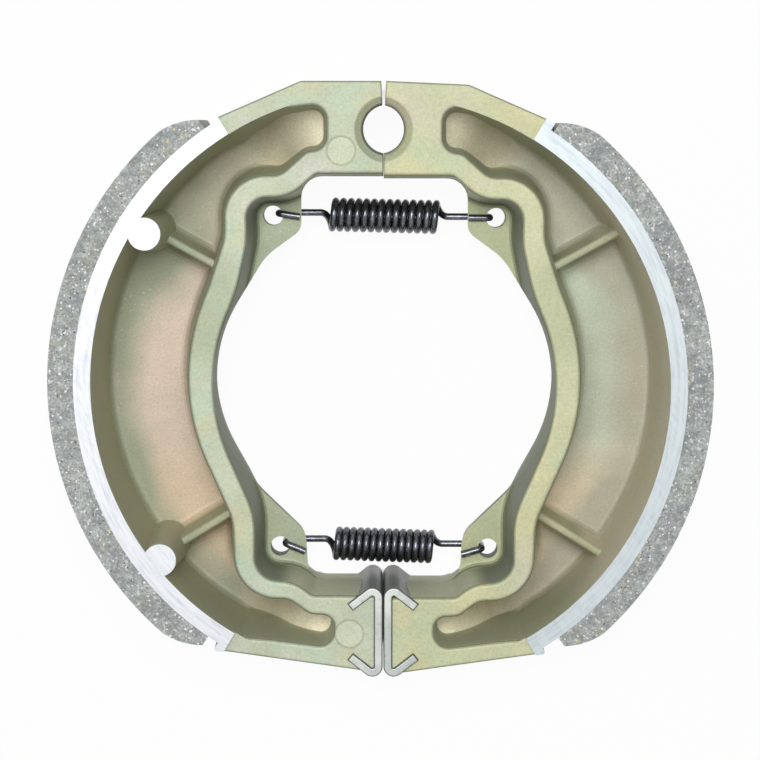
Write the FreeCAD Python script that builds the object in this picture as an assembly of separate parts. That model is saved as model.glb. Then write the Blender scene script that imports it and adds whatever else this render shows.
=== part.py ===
import FreeCAD, Part

import math
import os

os.makedirs("parts", exist_ok=True)
V = FreeCAD.Vector

# A pair of drum brake shoes held together by two springs, lying on its back.
# Millimetres. The drum axis is Z, the two shoes meet on the plane x = 0, the
# anchor end is towards +Y and the cam end towards -Y. Each shoe is drawn on
# the +X side, so that x is its distance from the meeting plane.

# Drum and lining. The plan of the shoes is drawn for DRAWN_RADIUS, and places in
# it grow with the lining's radius
LINING_RADIUS = 64.9
DRAWN_RADIUS = 64.9
GROWTH = LINING_RADIUS / DRAWN_RADIUS
LINING_THICKNESS = 5.0
LINING_INSET = 0.2
LINING_END_THICKNESS = 2.1
LINING_TAPER_ANGLE = 6.8
LINING_TAPER_BULGE = 0.5

# Rim of the casting
SHOE_WIDTH = 28.0
RIM_THICKNESS = 3.3
RIM_WALL_DRAFT = 1.3
LIP_RADIUS = 0.45
LIP_TOP_ANGLE = 56.5
LIP_BOTTOM_ANGLE = -57.5
STRIP_OVERRUN_ANGLE = 1.8
STRIP_PROUD = 0.8
PLATFORM_RADIUS = LINING_RADIUS - LINING_THICKNESS
STRIP_INNER_RADIUS = PLATFORM_RADIUS - RIM_THICKNESS

# Web, ridge and blocks
WEB_BACK = 1.0
WEB_THICKNESS = 3.3
RIDGE_WIDTH = 4.5
RIDGE_TOP = SHOE_WIDTH - STRIP_PROUD
TROUGH_FLOOR = WEB_BACK + WEB_THICKNESS
TROUGH_DRAFT = 1.7
TROUGH_END_DEPTH = 10.5
EAR_THICKNESS = 5.0
EAR_FRONT = 13.3
EAR_BACK = EAR_FRONT - EAR_THICKNESS
RIDGE_DRAFT = 1.1
PARTING_DRAFT = 0.9
FACE_DRAFT = 0.65

# Rounded edges of the casting, in flat steps where walls are drafted
EDGE_ROUND = 0.8
OUTER_ROUND = 0.5
TROUGH_FOOT = 1.4
EAR_FOOT = 1.2
ROUND_STEPS = 4

# Anchor end: a half bore for the anchor pin, in a split block
ANCHOR_Y = 49.6 * GROWTH
ANCHOR_BORE_RADIUS = 4.85
ANCHOR_BORE_OFFSET = 0.75
ANCHOR_BORE_CHAMFER = 1.3
ANCHOR_BLOCK_RISE = 9.2
ANCHOR_BLOCK_DEPTH = 9.25
ANCHOR_BLOCK_TOP = ANCHOR_Y + ANCHOR_BLOCK_RISE
ANCHOR_BLOCK_UNDER = ANCHOR_Y - ANCHOR_BLOCK_DEPTH
ANCHOR_SHOULDER_X = 15.9 * GROWTH
ANCHOR_SHOULDER_RADIUS = 2.0
SPLIT_CLEARANCE = 0.05
SPLIT_RELIEF = 0.43

# Cam end: a block that wears a bent sheet-metal plate
CAM_BLOCK_TOP = -40.15 * GROWTH
CAM_BLOCK_UNDER = -56.0 * GROWTH
CAM_PLATE_THICKNESS = 1.7
CAM_PLATE_GAP = 0.08
CAM_PLATE_INSET = 0.3
CAM_PLATE_RISE = 0.95
CAM_PLATE_SAG = 0.8
CAM_PLATE_ARM = 4.6
CAM_PLATE_ARM_ANGLE = 38.0
CAM_PLATE_BEND_RADIUS = 0.3
CAM_PLATE_SEAT = 0.05
CAM_PLATE_ROUND = 0.35

# Spring holes through the ears
HOLE_RADIUS = 1.95
UPPER_HOLE = (21.8 * GROWTH, 32.6 * GROWTH)
LOWER_HOLE = (20.5 * GROWTH, -33.3 * GROWTH)
EAR_REACH = 5.6

# Ribs across the trough, from the ridge to the rim
RIB_TOP = 14.5
RIB_THICKNESS = 1.7
RIB_FOOT = 2.9
RIB_SINK = 0.5
RIB_FOOT_ROUND = 1.6
RIB_TOP_ROUND = 0.6
UPPER_RIB = ((30.5, 21.4), (47.5, 30.8))
LOWER_RIB = ((29.0, -25.6), (45.5, -35.7))

# Round posts on the left shoe's rim, and the marks of its ejector pins
POST_RADIUS = 3.15
POST_FOOT_RADIUS = 4.4
POSTS = ((46.0, 29.5), (43.4, -33.8))
PIN_MARK_RADIUS = 2.75
PIN_MARK_DEPTH = 0.15
PIN_MARKS = ((8.2, 45.5), (6.6, -48.4))

# Return springs: a coil with a hook at each end. For the left and the right
# hook, lifts is how high its wire bears above the middle of the hole, sinks how
# far the coil's axis lies below the hook's shank, and stub_falls the angle by
# which the bent end on the ear's front points down
WIRE_RADIUS = 0.64
COIL_RADIUS = 2.66
COIL_TURNS = 13.5
HOOK_CLEARANCE = 0.08
HOOK_BEND = 0.8
HOOK_OVERLAP = 0.4
HOOK_LEAVE = 0.4
HOOK_LEFT_SWAN = 0.6
HOOK_RIGHT_SWAN = 1.7
HOOK_STUB = 4.2
UPPER_SPRING = {
    "hole": UPPER_HOLE,
    "pitch": 1.545,
    "lifts": (0.45, 0.05),
    "sinks": (0.4, 0.1),
    "stub_falls": (9.0, 0.0),
}
LOWER_SPRING = {
    "hole": LOWER_HOLE,
    "pitch": 1.425,
    "lifts": (0.6, 0.0),
    "sinks": (0.95, 0.6),
    "stub_falls": (22.0, 16.0),
}

# The ridge is a wall along this line, its edge beside the trough: corners with
# their radius and what the wall there is wider than the rest
RIDGE_DRAWN = (
    (14.7, 45.5, 3.1, -0.2),
    (19.9, 40.8, 3.9, -0.1),
    (30.7, 40.9, 8.2, -0.2),
    (30.7, 28.7, 10.0, 0.0),
    (33.6, 19.9, 30.0, 1.1),
    (41.2, 0.7, 40.2, 0.1),
    (29.3, -26.1, 11.6, 0.0),
    (28.8, -41.5, 8.5, -0.5),
    (18.3, -41.6, 3.9, -1.1),
    (14.3, -44.6, 3.1, -0.7),
)
RIDGE_LINE = [(x * GROWTH, y * GROWTH, radius * GROWTH, wider) for x, y, radius, wider in RIDGE_DRAWN]
RIDGE_MIDDLE = RIDGE_LINE[5]

# Ends of the trough, beyond the ridge line
TROUGH_ANCHOR_END = 11.0 * GROWTH
TROUGH_CAM_END = 9.6 * GROWTH
TROUGH_ANCHOR_TOP = ANCHOR_BLOCK_TOP - 4.4
TROUGH_ANCHOR_LOW = ANCHOR_BLOCK_TOP - 13.2
TROUGH_ANCHOR_TURN = 20.1 * GROWTH
TROUGH_ANCHOR_DROP = 1.0
TROUGH_ANCHOR_SLOPE = 0.497
TROUGH_ANCHOR_TURN_RADIUS = 8.1 * GROWTH
TROUGH_CAM_LOW = -51.1 * GROWTH
TROUGH_CAM_TOP = TROUGH_CAM_LOW + 6.3
TROUGH_CAM_TURN = 21.8 * GROWTH
TROUGH_CAM_LIFT = 1.6
TROUGH_CAM_SLOPE = 0.085
TROUGH_CAM_TURN_RADIUS = 19.0 * GROWTH
TROUGH_CAM_TIP_RADIUS = 2.3
TROUGH_END_RADIUS = 2.8

# Curved ramps of the trough's raised ends: x and y of the foot, and the heading
# in degrees in which the floor falls
CAM_END_RAMP = (28.5 * GROWTH, -42.8 * GROWTH, -14.0)
ANCHOR_END_RAMP = (27.9 * GROWTH, 44.1 * GROWTH, 25.0)
END_RAMP_WIDTH = 18.0 * GROWTH
END_RAMP_RUN = 18.0 * GROWTH

# Corners of the opening beside the ears, from the middle of the nearer hole,
# and their radius; the last is beside the ridge's middle
LOWER_EAR_FOOT = (-0.1 - EAR_REACH, 0.0, 3.9)
LOWER_EAR_TIP = (0.5 - EAR_REACH, 2.8, 4.8)
LOWER_EAR_END = (4.7 * GROWTH, 12.2 * GROWTH, 17.4 * GROWTH)
UPPER_EAR_END = (1.5 * GROWTH, -8.0 * GROWTH, 11.6 * GROWTH)
UPPER_EAR_TIP = (-EAR_REACH, -2.8, 3.1)
UPPER_EAR_FOOT = (-EAR_REACH, 0.0, 4.2)
RIDGE_SIDE = (0.9 - RIDGE_WIDTH, 0.4, 29.2 * GROWTH)

# Far outside the shoes
REACH = 2.0 * LINING_RADIUS

LEFT = {
    "rim_centre": (0.0, 0.5),
    "web_shift": (0.0, 0.0),
    "shoulder_fall": 0.0,
    "lip_heights": (0.83, 1.64),
    "lining_angles": (-55.4, 55.1),
    "posts": POSTS,
    "pin_marks": PIN_MARKS,
}
RIGHT = {
    "rim_centre": (-1.1, -0.5),
    "web_shift": (0.4, -0.4),
    "shoulder_fall": 0.7,
    "lip_heights": (1.7, 1.15),
    "lining_angles": (-54.0, 55.9),
    "posts": (),
    "pin_marks": (),
}


def shifted_line(p, q, distance):
    """Point and direction of the line through p and q, moved to its left."""
    dx = q[0] - p[0]
    dy = q[1] - p[1]
    length = math.hypot(dx, dy)
    dx = dx / length
    dy = dy / length
    return (p[0] - dy * distance, p[1] + dx * distance, dx, dy)


def crossing(a, b):
    """Where two lines cross."""
    det = a[2] * b[3] - a[3] * b[2]
    t = ((b[0] - a[0]) * b[3] - (b[1] - a[1]) * b[2]) / det
    return (a[0] + a[2] * t, a[1] + a[3] * t)


def turn_at(p, q, s):
    """Signed turn of the path p, q, s at q, in radians."""
    a = math.atan2(q[1] - p[1], q[0] - p[0])
    b = math.atan2(s[1] - q[1], s[0] - q[0])
    return (b - a + math.pi) % (2 * math.pi) - math.pi


def ridge_inner_side(line):
    """The ridge's other edge: its line moved across the wall's own width."""
    moved = []
    for before, corner, after in zip(line, line[1:], line[2:]):
        turn = turn_at(before, corner, after)
        heading = math.atan2(corner[1] - before[1], corner[0] - before[0]) + turn / 2
        width = RIDGE_WIDTH + corner[3]
        across = width / math.cos(turn / 2)
        x = corner[0] + math.sin(heading) * across
        y = corner[1] - math.cos(heading) * across
        radius = corner[2] + math.copysign(width, turn)
        moved.append((x, y, max(radius, 1.0)))
    return moved


def shift(corners, by):
    """The same corners, moved by a vector."""
    return [(c[0] + by[0], c[1] + by[1]) + tuple(c[2:]) for c in corners]


def grown(places):
    """Places in the plan, moved out with the lining's radius."""
    return [(x * GROWTH, y * GROWTH) for x, y in places]


def inset_loop(corners, distance):
    """A closed counter-clockwise loop of rounded corners, moved inwards."""
    n = len(corners)
    lines = []
    for i in range(n):
        lines.append(shifted_line(corners[i], corners[(i + 1) % n], distance))
    moved = []
    for i in range(n):
        x, y = crossing(lines[i - 1], lines[i])
        radius = corners[i][2]
        if radius > 0:
            sign = 1 if turn_at(corners[i - 1], corners[i], corners[(i + 1) % n]) > 0 else -1
            radius = max(radius - sign * distance, 0.25)
        moved.append((x, y, radius))
    return moved


def loop_wire(corners, z):
    """Closed wire at height z through rounded corners."""
    n = len(corners)
    starts = []
    ends = []
    for i in range(n):
        p = V(corners[i - 1][0], corners[i - 1][1], z)
        q = V(corners[i][0], corners[i][1], z)
        s = V(corners[(i + 1) % n][0], corners[(i + 1) % n][1], z)
        back = (p - q).normalize()
        ahead = (s - q).normalize()
        turn = turn_at(corners[i - 1], corners[i], corners[(i + 1) % n])
        reach = corners[i][2] * math.tan(abs(turn) / 2)
        starts.append(q + back * reach)
        ends.append(q + ahead * reach)
    edges = []
    for i in range(n):
        corner = V(corners[i][0], corners[i][1], z)
        radius = corners[i][2]
        if radius > 0:
            turn = turn_at(corners[i - 1], corners[i], corners[(i + 1) % n])
            bisector = ((starts[i] + ends[i]) * 0.5 - corner).normalize()
            middle = corner + bisector * (radius / math.cos(turn / 2) - radius)
            edges.append(Part.Arc(starts[i], middle, ends[i]).toShape())
        edges.append(Part.makeLine(ends[i], starts[(i + 1) % n]))
    return Part.Wire(edges)


def prism(corners, low, high):
    """Solid with straight walls over a loop of rounded corners."""
    return Part.Face(loop_wire(corners, low)).extrude(V(0, 0, high - low))


def stacked(corners, rows):
    """Solid through insets of the same loop, each row a height and its inset."""
    wires = [loop_wire(inset_loop(corners, inset), z) for z, inset in rows]
    solid = Part.makeLoft(wires, True, True)
    return solid.reversed() if solid.Volume < 0 else solid


def drafted(corners, low, low_inset, high, high_inset):
    """Solid whose walls lean between two insets of the same loop."""
    return stacked(corners, ((low, low_inset), (high, high_inset)))


def cast_rows(low, draft, foot):
    """Rows of a hollow that is drafted from the ridge's top down to its floor,
    with a rounded foot along the floor and a rounded edge at the top."""
    rows = []
    for i in range(ROUND_STEPS + 1):
        angle = math.pi / 2 * i / ROUND_STEPS
        z = low + foot * (1 - math.cos(angle))
        lean = draft * (RIDGE_TOP - z) / (RIDGE_TOP - low)
        rows.append((z, lean + foot * (1 - math.sin(angle))))
    for i in range(ROUND_STEPS + 1):
        angle = math.pi / 2 * i / ROUND_STEPS
        z = RIDGE_TOP - EDGE_ROUND * (1 - math.sin(angle))
        lean = draft * (RIDGE_TOP - z) / (RIDGE_TOP - low)
        rows.append((z, lean - EDGE_ROUND * (1 - math.cos(angle))))
    rows.append((SHOE_WIDTH + 1.0, -EDGE_ROUND))
    return rows


def polar(centre, radius, degrees, z=0.0):
    angle = math.radians(degrees)
    return V(centre[0] + radius * math.cos(angle), centre[1] + radius * math.sin(angle), z)


def ring_sector(centre, inner, outer, start, end, low, high):
    """Part of a ring between two angles in degrees."""
    middle = (start + end) / 2
    outer_arc = Part.Arc(polar(centre, outer, start), polar(centre, outer, middle), polar(centre, outer, end))
    inner_arc = Part.Arc(polar(centre, inner, end), polar(centre, inner, middle), polar(centre, inner, start))
    edges = [
        outer_arc.toShape(),
        Part.makeLine(polar(centre, outer, end), polar(centre, inner, end)),
        inner_arc.toShape(),
        Part.makeLine(polar(centre, inner, start), polar(centre, outer, start)),
    ]
    solid = Part.Face(Part.Wire(edges)).extrude(V(0, 0, high - low))
    solid.translate(V(0, 0, low))
    return solid


def cam_face():
    """Where the casting's cam end stops behind its plate."""
    return CAM_PLATE_GAP + CAM_PLATE_THICKNESS + CAM_PLATE_SEAT


def outline_corners(shoe):
    """The casting without its opening, counter-clockwise from the cam block."""
    shift_x, shift_y = shoe["web_shift"]
    shoulder_y = ANCHOR_BLOCK_TOP - shoe["shoulder_fall"]
    shoulder_x = ANCHOR_SHOULDER_X + shift_x
    under = CAM_BLOCK_UNDER + shift_y
    top_lip = polar(shoe["rim_centre"], PLATFORM_RADIUS + shoe["lip_heights"][0], LIP_TOP_ANGLE)
    bottom_lip = polar(shoe["rim_centre"], PLATFORM_RADIUS + shoe["lip_heights"][1], LIP_BOTTOM_ANGLE)
    under_slope = (bottom_lip.y - under) / bottom_lip.x
    shoulder_slope = (shoulder_y - top_lip.y) / (top_lip.x - shoulder_x)
    return [
        (cam_face(), under, 0.0),
        (REACH, under + under_slope * REACH, 0.0),
        (REACH, shoulder_y - shoulder_slope * (REACH - shoulder_x), 0.0),
        (shoulder_x, shoulder_y, ANCHOR_SHOULDER_RADIUS),
        (SPLIT_CLEARANCE + SPLIT_RELIEF, ANCHOR_BLOCK_TOP, 0.0),
        (SPLIT_CLEARANCE, ANCHOR_Y, 0.0),
        (SPLIT_CLEARANCE, 0.0, 0.0),
        (cam_face(), 0.0, 0.0),
    ]


def beside(place, corner):
    """A rounded corner given from a place."""
    return (place[0] + corner[0], place[1] + corner[1], corner[2])


def opening_corners(shoe, face_draft):
    """The space between the shoes at the parting plane, counter-clockwise."""
    top = ANCHOR_BLOCK_UNDER + face_draft
    low = CAM_BLOCK_TOP - face_draft
    corners = [
        (-REACH, low, 0.0),
        (LOWER_HOLE[0] + LOWER_EAR_FOOT[0], low, LOWER_EAR_FOOT[2]),
        beside(LOWER_HOLE, LOWER_EAR_TIP),
        beside(LOWER_HOLE, LOWER_EAR_END),
        beside(RIDGE_MIDDLE, RIDGE_SIDE),
        beside(UPPER_HOLE, UPPER_EAR_END),
        beside(UPPER_HOLE, UPPER_EAR_TIP),
        (UPPER_HOLE[0] + UPPER_EAR_FOOT[0], top, UPPER_EAR_FOOT[2]),
        (-REACH, top, 0.0),
    ]
    return shift(corners, shoe["web_shift"])


def opening(shoe):
    """The space between the shoes, wider on both sides of the parting plane."""
    parting = loop_wire(opening_corners(shoe, 0.0), EAR_FRONT)
    front = loop_wire(opening_corners(shoe, FACE_DRAFT), SHOE_WIDTH + 0.5)
    back = loop_wire(inset_loop(opening_corners(shoe, 0.0), -PARTING_DRAFT), -0.5)
    return [Part.makeLoft([parting, front], True, True), Part.makeLoft([back, parting], True, True)]


def trough_corners(shoe):
    """Edge of the trough at the top of the ridge, counter-clockwise."""
    anchor_turn_y = TROUGH_ANCHOR_TOP - TROUGH_ANCHOR_DROP
    cam_turn_y = TROUGH_CAM_LOW + TROUGH_CAM_LIFT
    corners = [
        (TROUGH_CAM_END, TROUGH_CAM_LOW, TROUGH_END_RADIUS),
        (TROUGH_CAM_TURN, cam_turn_y, TROUGH_CAM_TURN_RADIUS),
        (REACH, cam_turn_y + TROUGH_CAM_SLOPE * (REACH - TROUGH_CAM_TURN), 0.0),
        (REACH, anchor_turn_y - TROUGH_ANCHOR_SLOPE * (REACH - TROUGH_ANCHOR_TURN), 0.0),
        (TROUGH_ANCHOR_TURN, anchor_turn_y, TROUGH_ANCHOR_TURN_RADIUS),
        (TROUGH_ANCHOR_END, TROUGH_ANCHOR_TOP, TROUGH_END_RADIUS),
        (TROUGH_ANCHOR_END, TROUGH_ANCHOR_LOW, TROUGH_END_RADIUS),
    ]
    corners = corners + [row[:3] for row in RIDGE_LINE] + [(TROUGH_CAM_END, TROUGH_CAM_TOP, TROUGH_CAM_TIP_RADIUS)]
    return shift(corners, shoe["web_shift"])


def ledge_corners(shoe):
    """Edge of the lower ledge inside the ridge, counter-clockwise."""
    inner = ridge_inner_side(RIDGE_LINE)
    top = ANCHOR_BLOCK_UNDER + FACE_DRAFT
    low = CAM_BLOCK_TOP - FACE_DRAFT
    first = shifted_line(RIDGE_LINE[0], RIDGE_LINE[1], -RIDGE_WIDTH)
    last = shifted_line(RIDGE_LINE[-2], RIDGE_LINE[-1], -RIDGE_WIDTH - RIDGE_LINE[-2][3])
    under = crossing(first, (0.0, top, 1.0, 0.0))
    above = crossing(last, (0.0, low, 1.0, 0.0))
    corners = [(-REACH, top, 0.0), (under[0], under[1], 1.8)]
    corners = corners + inner + [(above[0], above[1], 2.2), (-REACH, low, 0.0)]
    return shift(corners[::-1], shoe["web_shift"])


def body_blank(shoe):
    """The casting's outline over its full width, with the lining's platform."""
    centre = shoe["rim_centre"]
    blank = prism(outline_corners(shoe), 0.0, SHOE_WIDTH)
    top = SHOE_WIDTH + 1.0
    platform = ring_sector(centre, PLATFORM_RADIUS, 3 * REACH, LIP_BOTTOM_ANGLE, LIP_TOP_ANGLE, -1.0, top)
    blank = blank.cut(platform)
    lips = []
    for edge in blank.Edges:
        low, high = edge.Vertexes[0].Point, edge.Vertexes[-1].Point
        upright = abs(abs(high.z - low.z) - SHOE_WIDTH) < 0.001
        radius = math.hypot(low.x - centre[0], low.y - centre[1])
        angle = math.degrees(math.atan2(low.y - centre[1], low.x - centre[0]))
        at_lip = min(abs(angle - LIP_TOP_ANGLE), abs(angle - LIP_BOTTOM_ANGLE)) < 0.1
        if upright and at_lip and radius > PLATFORM_RADIUS + 0.01:
            lips.append(edge)
    return blank.makeFillet(LIP_RADIUS, lips).cut(opening(shoe))


def strip(blank, shoe):
    """The machined rim, which stands proud of the web's back and the ridge."""
    start = LIP_BOTTOM_ANGLE - STRIP_OVERRUN_ANGLE
    end = LIP_TOP_ANGLE + STRIP_OVERRUN_ANGLE
    ring = ring_sector(shoe["rim_centre"], STRIP_INNER_RADIUS - 2.0, REACH, start, end, 0.0, SHOE_WIDTH)
    return blank.common(ring)


def trough(shoe):
    """The drafted space between ridge and rim, shallower at both its ends."""
    space = stacked(trough_corners(shoe), cast_rows(TROUGH_FLOOR, TROUGH_DRAFT, TROUGH_FOOT))
    floor_centre = V(shoe["rim_centre"][0], shoe["rim_centre"][1], TROUGH_FLOOR)
    deep = SHOE_WIDTH - TROUGH_FLOOR
    cone = Part.makeCone(STRIP_INNER_RADIUS - RIM_WALL_DRAFT, STRIP_INNER_RADIUS, deep, floor_centre)
    floor_circle = [edge for edge in cone.Edges if abs(edge.BoundBox.ZMax - TROUGH_FLOOR) < 0.001]
    space = space.common(cone.makeFillet(TROUGH_FOOT, floor_circle))
    for x, y, heading in (CAM_END_RAMP, ANCHOR_END_RAMP):
        space = space.cut(end_ramp(x, y, heading))
    return space


def end_ramp(x, y, heading):
    """The raised floor at one end of the trough, rising towards the block."""
    high = RIDGE_TOP - TROUGH_END_DEPTH
    half = -END_RAMP_RUN / 2
    sweep = Part.BezierCurve()
    foot = V(0, 0, TROUGH_FLOOR)
    head = V(2 * half, 0, high)
    sweep.setPoles([foot, V(half, 0, TROUGH_FLOOR), V(half, 0, high), head])
    under = [head, V(-REACH, 0, high), V(-REACH, 0, TROUGH_FLOOR - 1.0), V(0, 0, TROUGH_FLOOR - 1.0), foot]
    outline = Part.Wire([sweep.toShape()] + Part.makePolygon(under).Edges)
    ramp = Part.Face(outline).extrude(V(0, END_RAMP_WIDTH, 0))
    ramp.translate(V(0, -END_RAMP_WIDTH / 2, 0))
    ramp.rotate(V(0, 0, 0), V(0, 0, 1), -heading)
    ramp.translate(V(x, y, 0))
    return ramp


def rib(line, by):
    """A thin drafted wall across the trough, moved by a vector."""
    (x0, y0), (x1, y1) = shift(grown(line), by)
    length = math.hypot(x1 - x0, y1 - y0)
    rise = RIB_TOP - TROUGH_FLOOR
    rows = [(TROUGH_FLOOR - RIB_SINK, RIB_FOOT + 2 * RIB_FOOT_ROUND)]
    for i in range(ROUND_STEPS + 1):
        angle = math.pi / 2 * i / ROUND_STEPS
        up = RIB_FOOT_ROUND * (1 - math.cos(angle))
        thickness = RIB_FOOT + (RIB_THICKNESS - RIB_FOOT) * up / rise
        rows.append((TROUGH_FLOOR + up, thickness + 2 * RIB_FOOT_ROUND * (1 - math.sin(angle))))
    for i in range(ROUND_STEPS + 1):
        angle = math.pi / 2 * i / ROUND_STEPS
        down = RIB_TOP_ROUND * (1 - math.sin(angle))
        rows.append((RIB_TOP - down, RIB_THICKNESS - 2 * RIB_TOP_ROUND * (1 - math.cos(angle))))
    wires = []
    for z, thickness in rows:
        half = thickness / 2
        points = [V(0, -half, z), V(length, -half, z), V(length, half, z), V(0, half, z), V(0, -half, z)]
        wires.append(Part.makePolygon(points))
    wall = Part.makeLoft(wires, True, True)
    wall.rotate(V(0, 0, 0), V(0, 0, 1), math.degrees(math.atan2(y1 - y0, x1 - x0)))
    wall.translate(V(x0, y0, 0))
    return wall


def anchor_bore():
    """Seat for the anchor pin, chamfered at both faces."""
    at = V(-ANCHOR_BORE_OFFSET, ANCHOR_Y, 0)
    bore = Part.makeCylinder(ANCHOR_BORE_RADIUS, SHOE_WIDTH, at)
    wide = ANCHOR_BORE_RADIUS + ANCHOR_BORE_CHAMFER
    deep = ANCHOR_BORE_CHAMFER
    front = Part.makeCone(ANCHOR_BORE_RADIUS, wide, deep, at + V(0, 0, RIDGE_TOP - deep))
    back = Part.makeCone(wide, ANCHOR_BORE_RADIUS, deep, at + V(0, 0, WEB_BACK))
    return bore.fuse([front, back])


def plate_profile(grow):
    """Corners of the bent cam plate, with every surface moved out by grow."""
    t = CAM_PLATE_THICKNESS
    bend = t + CAM_PLATE_BEND_RADIUS
    angle = math.radians(CAM_PLATE_ARM_ANGLE)
    cos = math.cos(angle)
    sin = math.sin(angle)
    miter = (1 + sin) / cos
    top = CAM_BLOCK_TOP + CAM_PLATE_RISE + bend * (miter - 1)
    under = CAM_BLOCK_UNDER - CAM_PLATE_SAG - bend * (miter - 1)
    run = bend * (1 + sin) + CAM_PLATE_ARM * cos
    fall = run * sin / cos
    outer = CAM_PLATE_GAP
    corners = [
        (outer, under, bend),
        (outer + run, under + fall, 0.0),
        (outer + run - t * sin, under + fall + t * cos, 0.0),
        (outer + t, under + t * miter, CAM_PLATE_BEND_RADIUS),
        (outer + t, top - t * miter, CAM_PLATE_BEND_RADIUS),
        (outer + run - t * sin, top - fall - t * cos, 0.0),
        (outer + run, top - fall, 0.0),
        (outer, top, bend),
    ]
    return inset_loop(corners, -grow)


def cam_plate():
    """The plate that the cam bears on: a leg with two arms bent into the block."""
    low = CAM_PLATE_INSET
    high = SHOE_WIDTH - CAM_PLATE_INSET
    plate = prism(plate_profile(0.0), low, high)
    sheared = []
    for edge in plate.Edges:
        box = edge.BoundBox
        if box.ZMax - box.ZMin < 0.001:
            sheared.append(edge)
    return plate.makeFillet(CAM_PLATE_ROUND, sheared)


def outer_edges(solid, centre):
    """Level edges along the outer walls of the anchor block and the cam block."""
    found = []
    for edge in solid.Edges:
        box = edge.BoundBox
        middle = box.Center
        angle = math.degrees(math.atan2(middle.y - centre[1], middle.x - centre[0]))
        level = box.ZLength < 0.001
        outside = math.hypot(middle.x, middle.y) > ANCHOR_Y and box.XMax > ANCHOR_BORE_RADIUS
        beyond_lips = angle > LIP_TOP_ANGLE + STRIP_OVERRUN_ANGLE or angle < LIP_BOTTOM_ANGLE
        if level and outside and beyond_lips:
            found.append(edge)
    return found


def casting(shoe):
    """One die-cast shoe, drawn on the +X side."""
    blank = body_blank(shoe)
    level = Part.makeBox(2 * REACH, 2 * REACH, RIDGE_TOP - WEB_BACK, V(-REACH, -REACH, WEB_BACK))
    core = blank.common(level)
    core = core.makeFillet(OUTER_ROUND, outer_edges(core, shoe["rim_centre"]))
    solid = core.fuse(strip(blank, shoe))
    solid = solid.cut(trough(shoe))
    for line in (UPPER_RIB, LOWER_RIB):
        solid = solid.fuse(rib(line, shoe["web_shift"]))
    shift_x, shift_y = shoe["web_shift"]
    foot_z = TROUGH_FLOOR - RIB_SINK
    for x, y in grown(shoe["posts"]):
        solid = solid.fuse(Part.makeCone(POST_FOOT_RADIUS, POST_RADIUS, SHOE_WIDTH - foot_z, V(x, y, foot_z)))
    ledge = ledge_corners(shoe)
    front = stacked(ledge, cast_rows(EAR_FRONT, RIDGE_DRAFT, EAR_FOOT))
    back = drafted(ledge, -1.0, 0.0, EAR_BACK, RIDGE_DRAFT)
    solid = solid.cut([front, back, anchor_bore()])
    for x, y in (UPPER_HOLE, LOWER_HOLE):
        solid = solid.cut(Part.makeCylinder(HOLE_RADIUS, SHOE_WIDTH, V(x + shift_x, y + shift_y, 0)))
    for x, y in grown(shoe["pin_marks"]):
        solid = solid.cut(Part.makeCylinder(PIN_MARK_RADIUS, 1.0, V(x, y, RIDGE_TOP - PIN_MARK_DEPTH)))
    solid = solid.cut(prism(plate_profile(CAM_PLATE_SEAT), -1.0, SHOE_WIDTH + 1.0))
    return solid.removeSplitter()


def lining(shoe):
    """The bonded friction lining, thinned at both ends."""
    centre = shoe["rim_centre"]
    start, end = shoe["lining_angles"]
    low = PLATFORM_RADIUS
    thin = low + LINING_END_THICKNESS
    full_start = start + LINING_TAPER_ANGLE
    full_end = end - LINING_TAPER_ANGLE
    middle = (start + end) / 2
    outer_start = polar(centre, LINING_RADIUS, full_start)
    outer_end = polar(centre, LINING_RADIUS, full_end)
    bulged = (LINING_RADIUS + thin) / 2 + LINING_TAPER_BULGE
    taper_start = polar(centre, bulged, (start + full_start) / 2)
    taper_end = polar(centre, bulged, (end + full_end) / 2)
    edges = [
        Part.Arc(outer_start, polar(centre, LINING_RADIUS, middle), outer_end).toShape(),
        Part.Arc(outer_end, taper_end, polar(centre, thin, end)).toShape(),
        Part.makeLine(polar(centre, thin, end), polar(centre, low, end)),
        Part.Arc(polar(centre, low, end), polar(centre, low, middle), polar(centre, low, start)).toShape(),
        Part.makeLine(polar(centre, low, start), polar(centre, thin, start)),
        Part.Arc(polar(centre, thin, start), taper_start, outer_start).toShape(),
    ]
    solid = Part.Face(Part.Wire(edges)).extrude(V(0, 0, SHOE_WIDTH - 2 * LINING_INSET))
    solid.translate(V(0, 0, LINING_INSET))
    return solid


def wire_path(points, bend):
    """Path of straight runs joined by tangent arcs."""
    edges = []
    at = points[0]
    for i in range(1, len(points) - 1):
        back = (points[i - 1] - points[i]).normalize()
        ahead = (points[i + 1] - points[i]).normalize()
        turn = math.pi - back.getAngle(ahead)
        reach = bend * math.tan(turn / 2)
        start = points[i] + back * reach
        end = points[i] + ahead * reach
        bisector = (back + ahead).normalize()
        middle = points[i] + bisector * (bend / math.cos(turn / 2) - bend)
        edges.append(Part.makeLine(at, start))
        edges.append(Part.Arc(start, middle, end).toShape())
        at = end
    edges.append(Part.makeLine(at, points[-1]))
    return Part.Wire(edges)


def swept_wire(path, start, direction):
    """Round wire along a path that starts at a point in a direction."""
    section = Part.Wire([Part.makeCircle(WIRE_RADIUS, start, direction)])
    return path.makePipeShell([section], True, False)


def seat(shoe, hole, lift):
    """Where a hook's wire bears in the hole of one shoe, lift above its middle."""
    pull = math.sqrt((HOLE_RADIUS - WIRE_RADIUS - HOOK_CLEARANCE) ** 2 - lift ** 2)
    return hole[0] + shoe["web_shift"][0] - pull, hole[1] + shoe["web_shift"][1] + lift


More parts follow.
